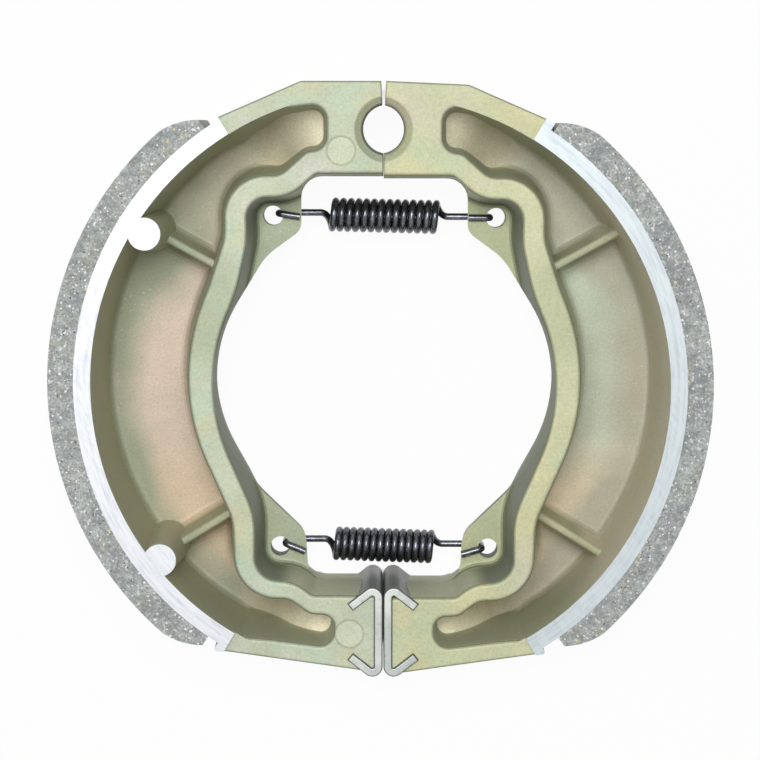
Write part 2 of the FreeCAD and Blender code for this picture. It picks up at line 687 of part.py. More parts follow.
def coil(pitch, middle, tilt):
    """Left-handed coil along X, from its bottom at -X to its top at +X, then tilted."""
    length = COIL_TURNS * pitch
    helix = Part.makeLongHelix(pitch, length, COIL_RADIUS, 0, True)
    helix.rotate(V(0, 0, 0), V(0, 1, 0), 90)
    begin = helix.Edges[0].valueAt(helix.Edges[0].FirstParameter)
    turn = math.degrees(math.atan2(begin.z, begin.y))
    helix.rotate(V(0, 0, 0), V(1, 0, 0), 180.0 - turn)
    helix.translate(V(-length / 2, 0, 0))
    helix.rotate(V(0, 0, 0), V(0, 0, 1), tilt)
    helix.translate(middle)
    first = helix.Edges[0]
    start = first.valueAt(first.FirstParameter)
    section = Part.Wire([Part.makeCircle(WIRE_RADIUS, start, first.tangentAt(first.FirstParameter))])
    return Part.Wire(helix.Edges).makePipeShell([section], True, True)


def spring(spec):
    """Extension spring between the two shoes' holes, with a hook at each end."""
    shank_z = EAR_BACK - WIRE_RADIUS - HOOK_CLEARANCE
    stub_z = EAR_FRONT + WIRE_RADIUS + HOOK_CLEARANCE
    left_x, left_y = seat(LEFT, spec["hole"], spec["lifts"][0])
    right_x, right_y = seat(RIGHT, spec["hole"], spec["lifts"][1])
    axis_left = left_y - spec["sinks"][0]
    axis_right = right_y - spec["sinks"][1]
    half = COIL_TURNS * spec["pitch"] / 2
    middle = V((right_x - left_x) / 2, (axis_left + axis_right) / 2, shank_z)
    pieces = [coil(spec["pitch"], middle, math.degrees(math.atan2(axis_right - axis_left, 2 * half)))]
    ends = (
        (-1, -left_x, left_y, axis_left, HOOK_LEFT_SWAN, spec["stub_falls"][0]),
        (1, right_x, right_y, axis_right, HOOK_RIGHT_SWAN, spec["stub_falls"][1]),
    )
    for side, seat_x, shank_y, axis_y, swan, fall in ends:
        leave = middle.x + side * half
        angle = math.radians(fall)
        stub = V(-side * math.cos(angle), -math.sin(angle), 0) * HOOK_STUB
        points = [
            V(leave - side * HOOK_OVERLAP, axis_y + side * COIL_RADIUS, shank_z),
            V(leave + side * HOOK_LEAVE, axis_y + side * COIL_RADIUS, shank_z),
            V(leave + side * (HOOK_LEAVE + swan), shank_y, shank_z),
            V(seat_x, shank_y, shank_z),
            V(seat_x, shank_y, stub_z),
            V(seat_x, shank_y, stub_z) + stub,
        ]
        pieces.append(swept_wire(wire_path(points, HOOK_BEND), points[0], points[1] - points[0]))
    return pieces[0].fuse(pieces[1:])


def mirrored(shape):
    return shape.mirror(V(0, 0, 0), V(1, 0, 0))


def save(name, shape):
    shape.exportStep("parts/" + name + ".step")
    print(name, shape.ShapeType, len(shape.Solids), round(shape.Volume, 1), shape.isValid())


def main():
    plate = cam_plate()
    save("left_shoe", mirrored(casting(LEFT)))
    save("left_lining", mirrored(lining(LEFT)))
    save("left_cam_plate", mirrored(plate))
    save("right_shoe", casting(RIGHT))
    save("right_lining", lining(RIGHT))
    save("right_cam_plate", plate)
    save("upper_spring", spring(UPPER_SPRING))
    save("lower_spring", spring(LOWER_SPRING))


main()
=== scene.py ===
import math

import bpy
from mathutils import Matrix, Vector


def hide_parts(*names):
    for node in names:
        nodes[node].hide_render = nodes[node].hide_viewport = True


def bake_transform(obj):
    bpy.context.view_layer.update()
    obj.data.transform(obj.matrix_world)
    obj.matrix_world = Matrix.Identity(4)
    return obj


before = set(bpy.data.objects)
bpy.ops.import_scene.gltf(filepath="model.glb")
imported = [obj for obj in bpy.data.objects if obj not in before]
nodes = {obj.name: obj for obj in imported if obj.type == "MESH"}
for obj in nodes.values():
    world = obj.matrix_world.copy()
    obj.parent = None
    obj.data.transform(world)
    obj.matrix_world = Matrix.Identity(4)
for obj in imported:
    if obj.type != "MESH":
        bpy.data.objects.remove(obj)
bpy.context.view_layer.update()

# Metres, in the row frame: the set lies on its back, +Z towards the viewer, +Y to the
# anchor pin, and the drum's axis is x = 0, y = 0.
MM = 0.001

# Heights on the castings: rims, ears, trough floor and backs, then the levels below
# which the ribs lie beyond the ears, and the trough's raised ends at the blocks
PROUD_LEVEL = 27.6 * MM
EAR_LEVEL = 13.3 * MM
TROUGH_LEVEL = 12.0 * MM
BACK_LEVEL = 0.5 * MM
RIB_LEVEL = EAR_LEVEL + 4.0 * MM
END_LEVEL = PROUD_LEVEL - 3.0 * MM

# Distances from the planes x = 0 and y = 0 that part the trough from the ears and from
# the blocks at both ends
EAR_SIDE = 28.5 * MM
BLOCK_SIDE = 41.0 * MM
END_FLOOR_SIDE = BLOCK_SIDE - 3.0 * MM

# Spans of height over which a colour comes or goes, the last for the painted shade on
# the sunk ears
FLOOR_RISE = (TROUGH_LEVEL, TROUGH_LEVEL + 0.5 * MM)
RIB_TOP_RISE = (TROUGH_LEVEL + 0.6 * MM, TROUGH_LEVEL + 1.4 * MM)
SUNK_SHADE_RISE = (EAR_LEVEL, EAR_LEVEL + 9.0 * MM)

# Spans along Y and out from x = 0: the ridge's stretch of painted shade, the trough
# floor's lower hue and the hue at its ends, and how much nearer the rim's painted shade
# comes further up
RIDGE_SHADE_START = (-2.0 * MM, 10.0 * MM)
RIDGE_SHADE_END = (20.0 * MM, 32.0 * MM)
RIDGE_SHADE_SIDE = (25.0 * MM, 31.0 * MM)
LOW_FLOOR = (-26.0 * MM, -8.0 * MM)
END_FLOOR = (19.0 * MM, 30.0 * MM)
UPPER_FLOOR = (12.0 * MM, 28.0 * MM)
UPPER_SHADE_SHIFT = 6.5 * MM

# Spans of distance from the drum's axis: the floor's painted shade beside the rim, the end
# of the opening's walls with their painted shade and the start of the rim's wall with its
# painted light and shade, and how far both go sideways
RIM_SHADE_WIDTH = 8.0 * MM
OPENING_REACH = (46.0 * MM, 49.0 * MM)
OPENING_SIDE = (17.0 * MM, 21.0 * MM)
RIM_WALL_REACH = (49.0 * MM, 52.0 * MM)
RIM_WALL_END = (BLOCK_SIDE - 6.0 * MM, BLOCK_SIDE + 4.0 * MM)

# The anchor pin's seat out to its chamfer, its two edges, painted as rings of shade, in
# distance from the centre of each shoe's half, and the gap between the shoes that widens
# above it, with the width of the painted shade along it
ANCHOR = (0.0, 49.6 * MM)
ANCHOR_SEAT_REACH = 6.4 * MM
ANCHOR_SEAT_OFFSET = 0.75 * MM
SEAT_EDGE = (4.5 * MM, 5.05 * MM)
SEAT_CHAMFER_EDGE = (6.0 * MM, 6.35 * MM)
SPLIT_SLOPE = 0.43 / 9.2
SPLIT_LINE = (0.15 * MM, 0.4 * MM)

# Marks of the ejector pins on the left shoe
PIN_MARK_RADIUS = 2.75 * MM
PIN_MARK_EDGE = (PIN_MARK_RADIUS - 0.3 * MM, PIN_MARK_RADIUS + 0.1 * MM)
PIN_MARKS = ((-8.2 * MM, 45.5 * MM), (-6.6 * MM, -48.4 * MM))

# How much of a normal lies along Z: from walls to faces, on level faces alone, on the
# sheared edges of the cam plates, whose side faces get painted shade, and on rounded
# edges from wall to face, where shade is painted
FACE = (0.15, 0.7)
LEVEL_FACE = (0.8, 0.97)
SHEARED_FACE = (0.82, 0.99)
EDGE_START = (0.4, 0.6)
EDGE_END = (0.72, 0.97)
FRONT_SIDE = (-0.1, 0.1)
TOWARDS_AXIS = (-0.6, -0.1)

# A mask's border, and how far one radian counts in the marks turned about the axis
SHARP = 0.2 * MM
TURNED_SQUEEZE = 4.0 * MM

# Flecks: how ragged they are, how soft at the border, and how sharply chosen
FLECK_SHAKE = 0.7
FLECK_SHAKE_SCALE = 1.7
FLECK_BORDER = 0.16
FLECK_CHOICE = 0.02

# Return springs: wire and coil with their coating, and for each spring, in millimetres
# and degrees, its hooks' seats, the y of its coil's ends, its pitch and its stubs' fall
WIRE_RADIUS = 0.69 * MM
WIRE_ROUNDING = 5
COIL_RADIUS = 2.74 * MM
COIL_TURNS = 13.5
COIL_STEPS = 32
COIL_LEAD = 3
JOIN_RUN = 2.1 * MM
JOIN_LEAVE = 4.0 * MM
JOIN_ARRIVE = 5.0 * MM
JOIN_STEPS = 14
SHANK_Z = 7.58 * MM
STUB_Z = 14.02 * MM
STUB_LENGTH = 4.2 * MM
HOOK_BEND = 0.8 * MM
HOOK_STEPS = 8
SPRINGS = {
    "upper_spring": {
        "seats": ((-20.655, 33.05), (20.971, 32.25)),
        "axis": (32.65, 32.15),
        "pitch": 1.545,
        "falls": (9.0, 0.0),
    },
    "lower_spring": {
        "seats": ((-19.427, -32.7), (19.67, -33.7)),
        "axis": (-33.65, -34.3),
        "pitch": 1.425,
        "falls": (22.0, 16.0),
    },
}

# Camera: fitted to the photograph's perspective
CAMERA_PLACE = (-0.000865, 0.04952, 0.52678)
CAMERA_TURN = (-5.5053, -0.0160, 0.0749)
CAMERA_LENS = 123.07
CAMERA_SENSOR = 36.0
CAMERA_CLIP = 0.01

# Lamps, aimed at the origin: place, diameter and power
LAMPS = {
    "overhead": ((-0.04, 0.24, 0.92), 0.4, 5.5),
    "left_fill": ((-0.7, 0.1, 0.45), 0.5, 0.67),
}

# The world as a light and as it is seen, and the floor: its size and drop below the
# object, how far its gaps reach, and how open a place is where it turns white
WORLD_LIGHT = 0.25
WORLD_SEEN = 1.0
FLOOR_SIZE = 6.0
FLOOR_DROP = 0.05 * MM
FLOOR_GREY = 0.9
FLOOR_SEEN = 0.95
GAP_REACH = 3.0 * MM
GAP_OPENNESS = (0.15, 0.4)


def srgb(red, green, blue):
    """A linear colour from 0 to 255 display values."""
    linear = []
    for value in (red, green, blue):
        share = value / 255
        linear.append(((share + 0.055) / 1.055) ** 2.4 if value > 10 else share / 12.92)
    return (*linear, 1.0)


# Colours that both castings share, among them painted shade for the opening's walls and
# for lines along edges, and painted glints
WALL_COLOUR = srgb(184, 186, 158)
OPENING_SHADE_COLOUR = srgb(122, 127, 108)
EDGE_SHADE_COLOUR = srgb(79, 81, 59)
DRIFT_COLOUR = srgb(131, 137, 109)
GRAIN_COLOUR = srgb(105, 107, 87)
GLINT_COLOUR = srgb(255, 255, 244)
PIN_DISC_COLOUR = srgb(226, 230, 206)
PIN_EDGE_COLOUR = srgb(141, 148, 122)

# Each casting's colours: its raised parts and the hues that drift over them, a darker
# tone that also paints shade on the sunk ears and a stretch of the ridge, the trough's
# floor with its hues and its painted shade towards the rim, the rim's wall with painted
# light and shade, and the machined strip. Then where the floor's painted shade starts,
# its half of the seat, and how dark the painted shade along its seam and seat is.
LEFT_LOOK = {
    "top": srgb(195, 202, 176),
    "hues": (srgb(189, 207, 185), srgb(208, 202, 165), srgb(210, 205, 195)),
    "ledge": srgb(167, 177, 148),
    "floor": srgb(223, 204, 187),
    "floor_shade_and_clouds": srgb(163, 167, 144),
    "floor_end": srgb(255, 245, 219),
    "floor_low": srgb(223, 200, 174),
    "rim_wall_light_and_shade": srgb(185, 187, 159),
    "strip": (srgb(227, 229, 232), srgb(202, 207, 215)),
    "shade_start": 46.0 * MM,
    "seat": (ANCHOR_SEAT_OFFSET, ANCHOR[1]),
    "split_shade": 0.8,
    "pin_marks": PIN_MARKS,
}
RIGHT_LOOK = {
    "top": srgb(204, 207, 169),
    "hues": (srgb(191, 205, 170), srgb(216, 208, 162), srgb(206, 200, 180)),
    "ledge": srgb(176, 180, 144),
    "floor": srgb(198, 209, 190),
    "floor_shade_and_clouds": srgb(182, 176, 157),
    "floor_end": srgb(249, 241, 213),
    "floor_low": srgb(242, 222, 193),
    "rim_wall_light_and_shade": srgb(222, 215, 194),
    "strip": (srgb(201, 209, 211), srgb(180, 190, 196)),
    "shade_start": 44.0 * MM,
    "seat": (-ANCHOR_SEAT_OFFSET, ANCHOR[1]),
    "split_shade": 0.4,
    "pin_marks": (),
}

# Clouds of the three hues on a casting: noise scale, and where the hue sets in
HUE_CLOUDS = ((48.0, 0.46), (61.0, 0.5), (83.0, 0.52))

# Flecks in the linings: scale, size, chance and colour
LINING_FLECKS = (
    (1000.0, 0.15, 0.86, srgb(255, 255, 255)),
    (1650.0, 0.22, 0.78, srgb(241, 243, 241)),
    (760.0, 0.15, 0.91, srgb(223, 215, 165)),
    (1500.0, 0.18, 0.90, srgb(92, 94, 100)),
)


class Shader:
    """A node material with short calls for the nodes that this scene uses."""

    def __init__(self, name):
        self.material = bpy.data.materials.new(name)
        self.material.use_nodes = True
        self.tree = self.material.node_tree
        self.surface = self.tree.nodes["Principled BSDF"]
        coords = self.tree.nodes.new("ShaderNodeTexCoord")
        self.place = coords.outputs["Object"]
        self.normal = coords.outputs["Normal"]

    def link(self, value, socket):
        """Gives a socket a value, or links another node's output to it."""
        if hasattr(value, "links"):
            self.tree.links.new(value, socket)
        else:
            socket.default_value = value

    def node(self, kind, inputs, **settings):
        made = self.tree.nodes.new(kind)
        for key, value in settings.items():
            setattr(made, key, value)
        for key, value in inputs.items():
            self.link(value, made.inputs[key])
        return made

    def set(self, **inputs):
        """Sets the surface's inputs, and gives the material."""
        for name, value in inputs.items():
            self.link(value, self.surface.inputs[name.replace("_", " ")])
        return self.material

    def math(self, operation, first, second=0.0, clamp=False):
        inputs = {0: first, 1: second}
        made = self.node("ShaderNodeMath", inputs, operation=operation, use_clamp=clamp)
        return made.outputs[0]

    def vector(self, operation, inputs):
        return self.node("ShaderNodeVectorMath", inputs, operation=operation).outputs

    def times(self, first, *others):
        """The product of all values, which cuts masks to where they overlap."""
        for other in others:
            first = self.math("MULTIPLY", first, other)
        return first

    def most(self, first, *others):
        """The largest of all values, which joins masks."""
        for other in others:
            first = self.math("MAXIMUM", first, other)
        return first

    def weighted(self, first, share, second, other_share):
        return self.math("ADD", self.times(first, share), self.times(second, other_share))

    def ramp(self, value, low, high, start=0.0, end=1.0):
        """The value's way from low to high, as start to end."""
        inputs = {"Value": value, "From Min": low, "From Max": high}
        inputs.update({"To Min": start, "To Max": end})
        made = self.node("ShaderNodeMapRange", inputs, interpolation_type="SMOOTHSTEP")
        return made.outputs["Result"]

    def fade(self, value, low, high, start=1.0):
        """Falls from start to nothing as the value goes from low to high."""
        return self.ramp(value, low, high, start, 0.0)

    def above(self, value, level):
        return self.ramp(value, level, level + SHARP)

    def below(self, value, level):
        return self.fade(value, level, level + SHARP)

    def mix(self, factor, first, second):
        inputs = {"Factor": factor, "A": first, "B": second}
        made = self.node("ShaderNodeMix", inputs, data_type="RGBA", clamp_factor=True)
        return made.outputs["Result"]

    def stain(self, colour, tint, field, span, strength):
        """Mixes in a tint, up to its strength, where the field rises over the span."""
        return self.mix(self.ramp(field, *span, 0.0, strength), colour, tint)

    def scaled(self, x, y, z, turn=0.0):
        """The object's own coordinates, turned about Z, then scaled along each axis."""
        inputs = {"Vector": self.place, "Angle": math.radians(turn)}
        turned = self.node("ShaderNodeVectorRotate", inputs, rotation_type="Z_AXIS")
        return self.vector("MULTIPLY", {0: turned.outputs["Vector"], 1: (x, y, z)})["Vector"]

    def noise(self, scale, detail=3.0, roughness=0.55, at=None):
        inputs = {"Scale": scale, "Detail": detail, "Roughness": roughness}
        inputs["Vector"] = at or self.place
        return self.node("ShaderNodeTexNoise", inputs).outputs["Fac"]

    def flecks(self, scale, size, chance):
        """Scattered ragged spots, one in the share of cells above the chance."""
        inputs = {"Scale": scale * FLECK_SHAKE_SCALE, "Vector": self.place}
        shake = self.node("ShaderNodeTexNoise", inputs).outputs["Color"]
        push = self.vector("SCALE", {0: shake, "Scale": FLECK_SHAKE / scale})["Vector"]
        warped = self.vector("ADD", {0: self.place, 1: push})["Vector"]
        cells = self.node("ShaderNodeTexVoronoi", {"Scale": scale, "Vector": warped}).outputs
        random = self.part(cells["Color"], "X")
        spots = self.fade(cells["Distance"], size, size + FLECK_BORDER)
        return self.times(spots, self.ramp(random, chance, chance + FLECK_CHOICE))

    def part(self, vector, axis):
        return self.node("ShaderNodeSeparateXYZ", {0: vector}).outputs[axis]

    def along(self, axis):
        """The object's own coordinate along an axis."""
        return self.part(self.place, axis)

    def off_middle(self, axis):
        """Distance from the plane where the axis's coordinate is nothing."""
        return self.math("ABSOLUTE", self.along(axis))

    def facing_up(self):
        return self.part(self.normal, "Z")

    def levelness(self):
        """One on faces that look up or down, nothing on walls."""
        return self.math("ABSOLUTE", self.facing_up())

    def front_side(self):
        return self.ramp(self.facing_up(), *FRONT_SIDE)

    def distance(self, place=(0.0, 0.0)):
        """Distance in the plan from a place, or else from the drum's axis."""
        ends = {0: self.scaled(1.0, 1.0, 0.0), 1: (*place, 0.0)}
        return self.vector("DISTANCE", ends)["Value"]

    def ring(self, place, inner, outer):
        away = self.distance(place)
        return self.times(self.above(away, inner), self.below(away, outer))

    def bump(self, height, strength, distance):
        inputs = {"Strength": strength, "Distance": distance, "Height": height}
        return self.node("ShaderNodeBump", inputs).outputs["Normal"]


def trough_masks(s):
    """The trough with its ribs and raised ends, and its ribs' tops alone."""
    height = s.along("Z")
    low = s.fade(height, *FLOOR_RISE)
    ribs = s.times(s.below(height, RIB_LEVEL), s.above(s.off_middle("X"), EAR_SIDE))
    ends = s.times(s.below(height, END_LEVEL), s.above(s.off_middle("Y"), BLOCK_SIDE))
    hollow = s.times(s.most(low, ribs, ends), s.front_side())
    return hollow, s.times(s.ramp(height, *RIB_TOP_RISE), ribs)


def raised_colour(s, look):
    """Passivation on the ridge, blocks and ears, marks of ejector pins, and painted shade."""
    colour = look["top"]
    for (scale, low), hue in zip(HUE_CLOUDS, look["hues"]):
        field = s.noise(scale, roughness=0.6)
        colour = s.stain(colour, hue, field, (low, low + 0.16), strength=0.7)
    darker = s.noise(27.0, detail=2.0)
    colour = s.stain(colour, look["ledge"], darker, (0.45, 0.62), strength=0.2)

    # A brighter disc with a dark edge where a pin stood
    for place in look["pin_marks"]:
        disc = s.times(s.below(s.distance(place), PIN_MARK_RADIUS), s.front_side(), 0.3)
        edge = s.times(s.ring(place, *PIN_MARK_EDGE), s.front_side(), 0.5)
        colour = s.mix(disc, colour, PIN_DISC_COLOUR)
        colour = s.mix(edge, colour, PIN_EDGE_COLOUR)

    # Painted shade along a stretch of the ridge, and on the sunk ears
    upper = s.along("Y")
    dull = s.times(s.ramp(upper, *RIDGE_SHADE_START), s.fade(upper, *RIDGE_SHADE_END, start=0.6))
    dull = s.times(dull, s.ramp(s.off_middle("X"), *RIDGE_SHADE_SIDE))
    # Painted shade on the sunk ears, fading out as they rise
    sunk_shade = s.times(s.fade(s.along("Z"), *SUNK_SHADE_RISE, start=0.7), s.front_side())
    return s.mix(sunk_shade, s.mix(dull, colour, look["ledge"]), look["ledge"])


def floor_colour(s, look, rib_tops):
    """The trough's floor with painted shade towards the rim in clouds, and the tops of its ribs."""
    upper = s.along("Y")
    # Painted shade beside the rim, reaching further in towards the upper end
    outward = s.math("ADD", s.distance(), s.ramp(upper, *UPPER_FLOOR, 0.0, UPPER_SHADE_SHIFT))
    start = look["shade_start"]
    near_rim_shade = s.ramp(outward, start, start + RIM_SHADE_WIDTH)
    uneven = s.ramp(s.noise(38.0), 0.35, 0.7, -0.35, 0.35)
    shade = s.math("ADD", near_rim_shade, uneven, clamp=True)
    colour = s.mix(s.fade(upper, *LOW_FLOOR), look["floor"], look["floor_low"])
    colour = s.mix(shade, colour, look["floor_shade_and_clouds"])
    ends = s.times(s.fade(s.off_middle("X"), *END_FLOOR), s.above(s.off_middle("Y"), END_FLOOR_SIDE))
    colour = s.mix(ends, colour, look["floor_end"])
    return s.mix(s.times(rib_tops, 0.7), colour, look["ledge"])


def wall_colour(s, look):
    """Walls: painted shade on the middle opening's, painted light and shade on the rim's, and
    others.
    """
    outward = s.vector("NORMALIZE", {0: s.scaled(1.0, 1.0, 0.0)})["Vector"]
    toward = s.vector("DOT_PRODUCT", {0: outward, 1: s.normal})["Value"]
    away = s.distance()
    # Painted shade on the opening's walls that face the axis
    opening_shade = s.times(s.fade(toward, *TOWARDS_AXIS), s.fade(away, *OPENING_REACH))
    opening_shade = s.times(opening_shade, s.ramp(s.off_middle("X"), *OPENING_SIDE))
    # Painted light and shade on the rim's wall, lighter on the right casting
    rim = s.times(s.ramp(away, *RIM_WALL_REACH), s.fade(s.off_middle("Y"), *RIM_WALL_END))
    return s.mix(rim, s.mix(opening_shade, WALL_COLOUR, OPENING_SHADE_COLOUR), look["rim_wall_light_and_shade"])


def painted_edge_shade(s, look, hollow):
    """Painted shade in lines along the rounded edges, the meeting faces and the pin's seat."""
    level = s.levelness()
    edge_shade = s.times(s.ramp(level, *EDGE_START), s.fade(level, *EDGE_END, start=0.66))
    edge_shade = s.times(edge_shade, s.math("SUBTRACT", 1.0, hollow))
    edge_shade = s.times(edge_shade, s.above(s.distance(ANCHOR), ANCHOR_SEAT_REACH))
    above_seat = s.math("SUBTRACT", s.off_middle("Y"), ANCHOR[1])
    gap = s.most(s.times(above_seat, SPLIT_SLOPE), 0.0)
    from_gap = s.math("SUBTRACT", s.off_middle("X"), gap)
    # Painted shade along the gap between the shoes and in rings at the pin's seat
    split_shade = s.fade(from_gap, *SPLIT_LINE, start=look["split_shade"])
    bore_shade = s.times(s.ring(look["seat"], *SEAT_EDGE), look["split_shade"])
    chamfer_shade = s.times(s.ring(look["seat"], *SEAT_CHAMFER_EDGE), 0.6 * look["split_shade"])
    return s.most(edge_shade, split_shade, bore_shade, chamfer_shade)


def machined_rims(s):
    """One on the rim's machined faces, front and back."""
    height = s.along("Z")
    rims = s.most(s.above(height, PROUD_LEVEL), s.below(height, BACK_LEVEL))
    return s.times(rims, s.ramp(s.levelness(), *LEVEL_FACE))


def machined_colour(s, bright, dull):
    """Bare metal with marks across the rim and marks turned about the drum's axis."""
    around = s.math("ARCTAN2", s.along("X"), s.along("Y"))
    place = {"X": s.times(around, TURNED_SQUEEZE), "Y": s.distance()}
    turned_place = s.node("ShaderNodeCombineXYZ", place).outputs["Vector"]
    turned = s.noise(1500.0, detail=4.0, roughness=0.7, at=turned_place)
    across_place = s.scaled(1.6, 0.4, 1.0, turn=-32.0)
    across = s.noise(620.0, detail=4.0, roughness=0.7, at=across_place)
    marks = s.weighted(across, 0.35, turned, 0.65)
    return s.mix(s.ramp(marks, 0.42, 0.66), bright, dull)


def casting_material(name, look):
    """Passivated die-cast aluminium, machined bright on the rim's faces."""
    s = Shader(name)
    grain = s.noise(2300.0, roughness=0.65)
    drift = s.noise(140.0, detail=4.0, roughness=0.6)
    glints = s.noise(1700.0, detail=2.0)
    hollow, rib_tops = trough_masks(s)
    machined = machined_rims(s)

    colour = s.mix(hollow, raised_colour(s, look), floor_colour(s, look, rib_tops))
    colour = s.stain(colour, DRIFT_COLOUR, drift, (0.35, 0.7), strength=0.15)
    colour = s.mix(s.ramp(s.levelness(), *FACE), wall_colour(s, look), colour)
    # Painted shade along rounded edges, the seam and the pin's seat
    colour = s.mix(painted_edge_shade(s, look, hollow), colour, EDGE_SHADE_COLOUR)
    colour = s.stain(colour, GRAIN_COLOUR, grain, (0.35, 0.75), strength=0.22)
    colour = s.stain(colour, GLINT_COLOUR, glints, (0.64, 0.76), strength=0.2)
    colour = s.mix(machined, colour, machined_colour(s, *look["strip"]))

    rough = s.math("SUBTRACT", 0.6, s.times(machined, 0.16))
    cast = s.math("SUBTRACT", 1.0, s.times(machined, 0.85))
    relief = s.times(s.weighted(grain, 0.7, drift, 0.5), cast)
    normal = s.bump(relief, strength=0.5, distance=0.14 * MM)
    return s.set(Base_Color=colour, Metallic=0.25, Roughness=rough, Normal=normal)


def lining_material():
    """Grey moulded friction compound with light, yellow and dark flecks."""
    s = Shader("friction_lining")
    mottle = s.noise(520.0, detail=4.0, roughness=0.7)
    fine = s.noise(2400.0, roughness=0.7)
    mauve = s.noise(260.0, roughness=0.6)
    straw = s.noise(300.0, roughness=0.6, at=s.scaled(1.0, 1.0, 1.3))
    chips = s.noise(1250.0, detail=2.0, roughness=0.5)
    colour = s.mix(s.ramp(mottle, 0.34, 0.66), srgb(155, 160, 160), srgb(203, 209, 204))
    colour = s.stain(colour, srgb(172, 174, 181), mauve, (0.5, 0.66), strength=0.35)
    colour = s.stain(colour, srgb(182, 178, 154), straw, (0.52, 0.68), strength=0.45)
    colour = s.stain(colour, srgb(113, 115, 120), fine, (0.4, 0.66), strength=0.6)
    colour = s.stain(colour, srgb(232, 234, 228), chips, (0.6, 0.7), strength=0.7)
    for scale, size, chance, fleck in LINING_FLECKS:
        colour = s.mix(s.flecks(scale, size, chance), colour, fleck)
    pits = s.weighted(fine, 0.5, mottle, 0.5)
    normal = s.bump(pits, strength=0.8, distance=0.2 * MM)
    return s.set(Base_Color=colour, Roughness=0.88, Normal=normal)


def plate_material():
    """Zinc plating, bright on the sheared edges, with painted shade on the side faces."""
    s = Shader("cam_plate")
    rolled = s.noise(500.0, roughness=0.6, at=s.scaled(1.0, 0.12, 0.12))
    cloud = s.noise(160.0, detail=2.0)
    worn = s.noise(900.0, roughness=0.6)
    # Painted shade on the plate's side faces
    face_shade = s.mix(s.ramp(rolled, 0.35, 0.7), srgb(92, 95, 92), srgb(113, 117, 112))
    sheared = s.mix(s.ramp(cloud, 0.35, 0.65), srgb(178, 184, 180), srgb(205, 209, 203))
    sheared = s.stain(sheared, srgb(152, 159, 148), worn, (0.55, 0.75), strength=0.6)
    colour = s.mix(s.ramp(s.levelness(), *SHEARED_FACE), face_shade, sheared)
    rough = s.ramp(rolled, 0.3, 0.7, 0.34, 0.46)
    normal = s.bump(rolled, strength=0.15, distance=0.05 * MM)
    return s.set(Base_Color=colour, Metallic=0.35, Roughness=rough, Normal=normal)


def spring_material():
    """Gloss black coated spring wire."""
    s = Shader("spring_wire")
    wear = s.noise(900.0, roughness=0.6)
    colour = s.mix(s.ramp(wear, 0.45, 0.75), srgb(90, 93, 98), srgb(128, 128, 141))
    rough = s.ramp(wear, 0.3, 0.7, 0.2, 0.32)
    normal = s.bump(wear, strength=0.2, distance=0.05 * MM)
    return s.set(Base_Color=colour, Metallic=0.9, Roughness=rough, Normal=normal)


def rounded_corner(before, corner, after):
    """Points of the arc that rounds one corner of a hook."""
    back = (before - corner).normalized()
    ahead = (after - corner).normalized()
    turn = math.pi - back.angle(ahead)
    reach = HOOK_BEND * math.tan(turn / 2)
    start = corner + back * reach
    end = corner + ahead * reach
    centre = corner + (back + ahead).normalized() * (HOOK_BEND / math.cos(turn / 2))
    points = []
    for i in range(HOOK_STEPS + 1):
        spoke = (start - centre).normalized().slerp((end - centre).normalized(), i / HOOK_STEPS)
        points.append(centre + spoke * HOOK_BEND)
    return points


def eased(start, leave, end, arrive):
    """Inner points of a smooth curve between two points with given directions."""
    points = []
    for i in range(1, JOIN_STEPS):
        t = i / JOIN_STEPS
        a = 2 * t ** 3 - 3 * t ** 2 + 1
        b = t ** 3 - 2 * t ** 2 + t
        c = -2 * t ** 3 + 3 * t ** 2
        d = t ** 3 - t ** 2
        points.append(start * a + leave * b + end * c + arrive * d)
    return points


def coil_span(spec):
    """Where a spring's coil starts and ends along X."""
    (left_x, _), (right_x, _) = spec["seats"]
    middle = (left_x + right_x) / 2 * MM
    half = COIL_TURNS * spec["pitch"] * MM / 2
    return middle - half, middle + half


def coil_line(spec):
    """The coil's helix, led on a little at both ends."""
    start_x, end_x = coil_span(spec)
    start_y, end_y = spec["axis"]
    start = Vector((start_x, start_y * MM, SHANK_Z))
    end = Vector((end_x, end_y * MM, SHANK_Z))
    steps = int(COIL_TURNS * COIL_STEPS)
    points = []
    for i in range(-COIL_LEAD, steps + COIL_LEAD + 1):
        t = i / steps
        angle = 2 * math.pi * COIL_TURNS * t
        around = Vector((0, -math.cos(angle), math.sin(angle))) * COIL_RADIUS
        points.append(start + (end - start) * t + around)
    return points


def hook_line(side, seat, fall, coil_end, next_in):
    """One hook from its stub's end to the coil, on side -1 at the left or 1."""
    x, y = seat
    foot = Vector((x * MM, y * MM, SHANK_Z))
    top = Vector((x * MM, y * MM, STUB_Z))
    angle = math.radians(fall)
    stub_end = top + Vector((-side * math.cos(angle), -math.sin(angle), 0)) * STUB_LENGTH
    shank = Vector((coil_end.x + side * JOIN_RUN, y * MM, SHANK_Z))
    leave = Vector((-side, 0, 0)) * JOIN_LEAVE
    arrive = (next_in - coil_end).normalized() * JOIN_ARRIVE
    line = [stub_end] + rounded_corner(stub_end, top, foot)
    line += rounded_corner(top, foot, shank) + [shank]
    return line + eased(shank, leave, coil_end, arrive)


def spring_line(spec):
    """The wire's centreline from the left stub's end to the right one's."""
    coil = coil_line(spec)
    left_seat, right_seat = spec["seats"]
    left_fall, right_fall = spec["falls"]
    left = hook_line(-1, left_seat, left_fall, coil[0], coil[1])
    right = hook_line(1, right_seat, right_fall, coil[-1], coil[-2])
    return left + coil + right[::-1]


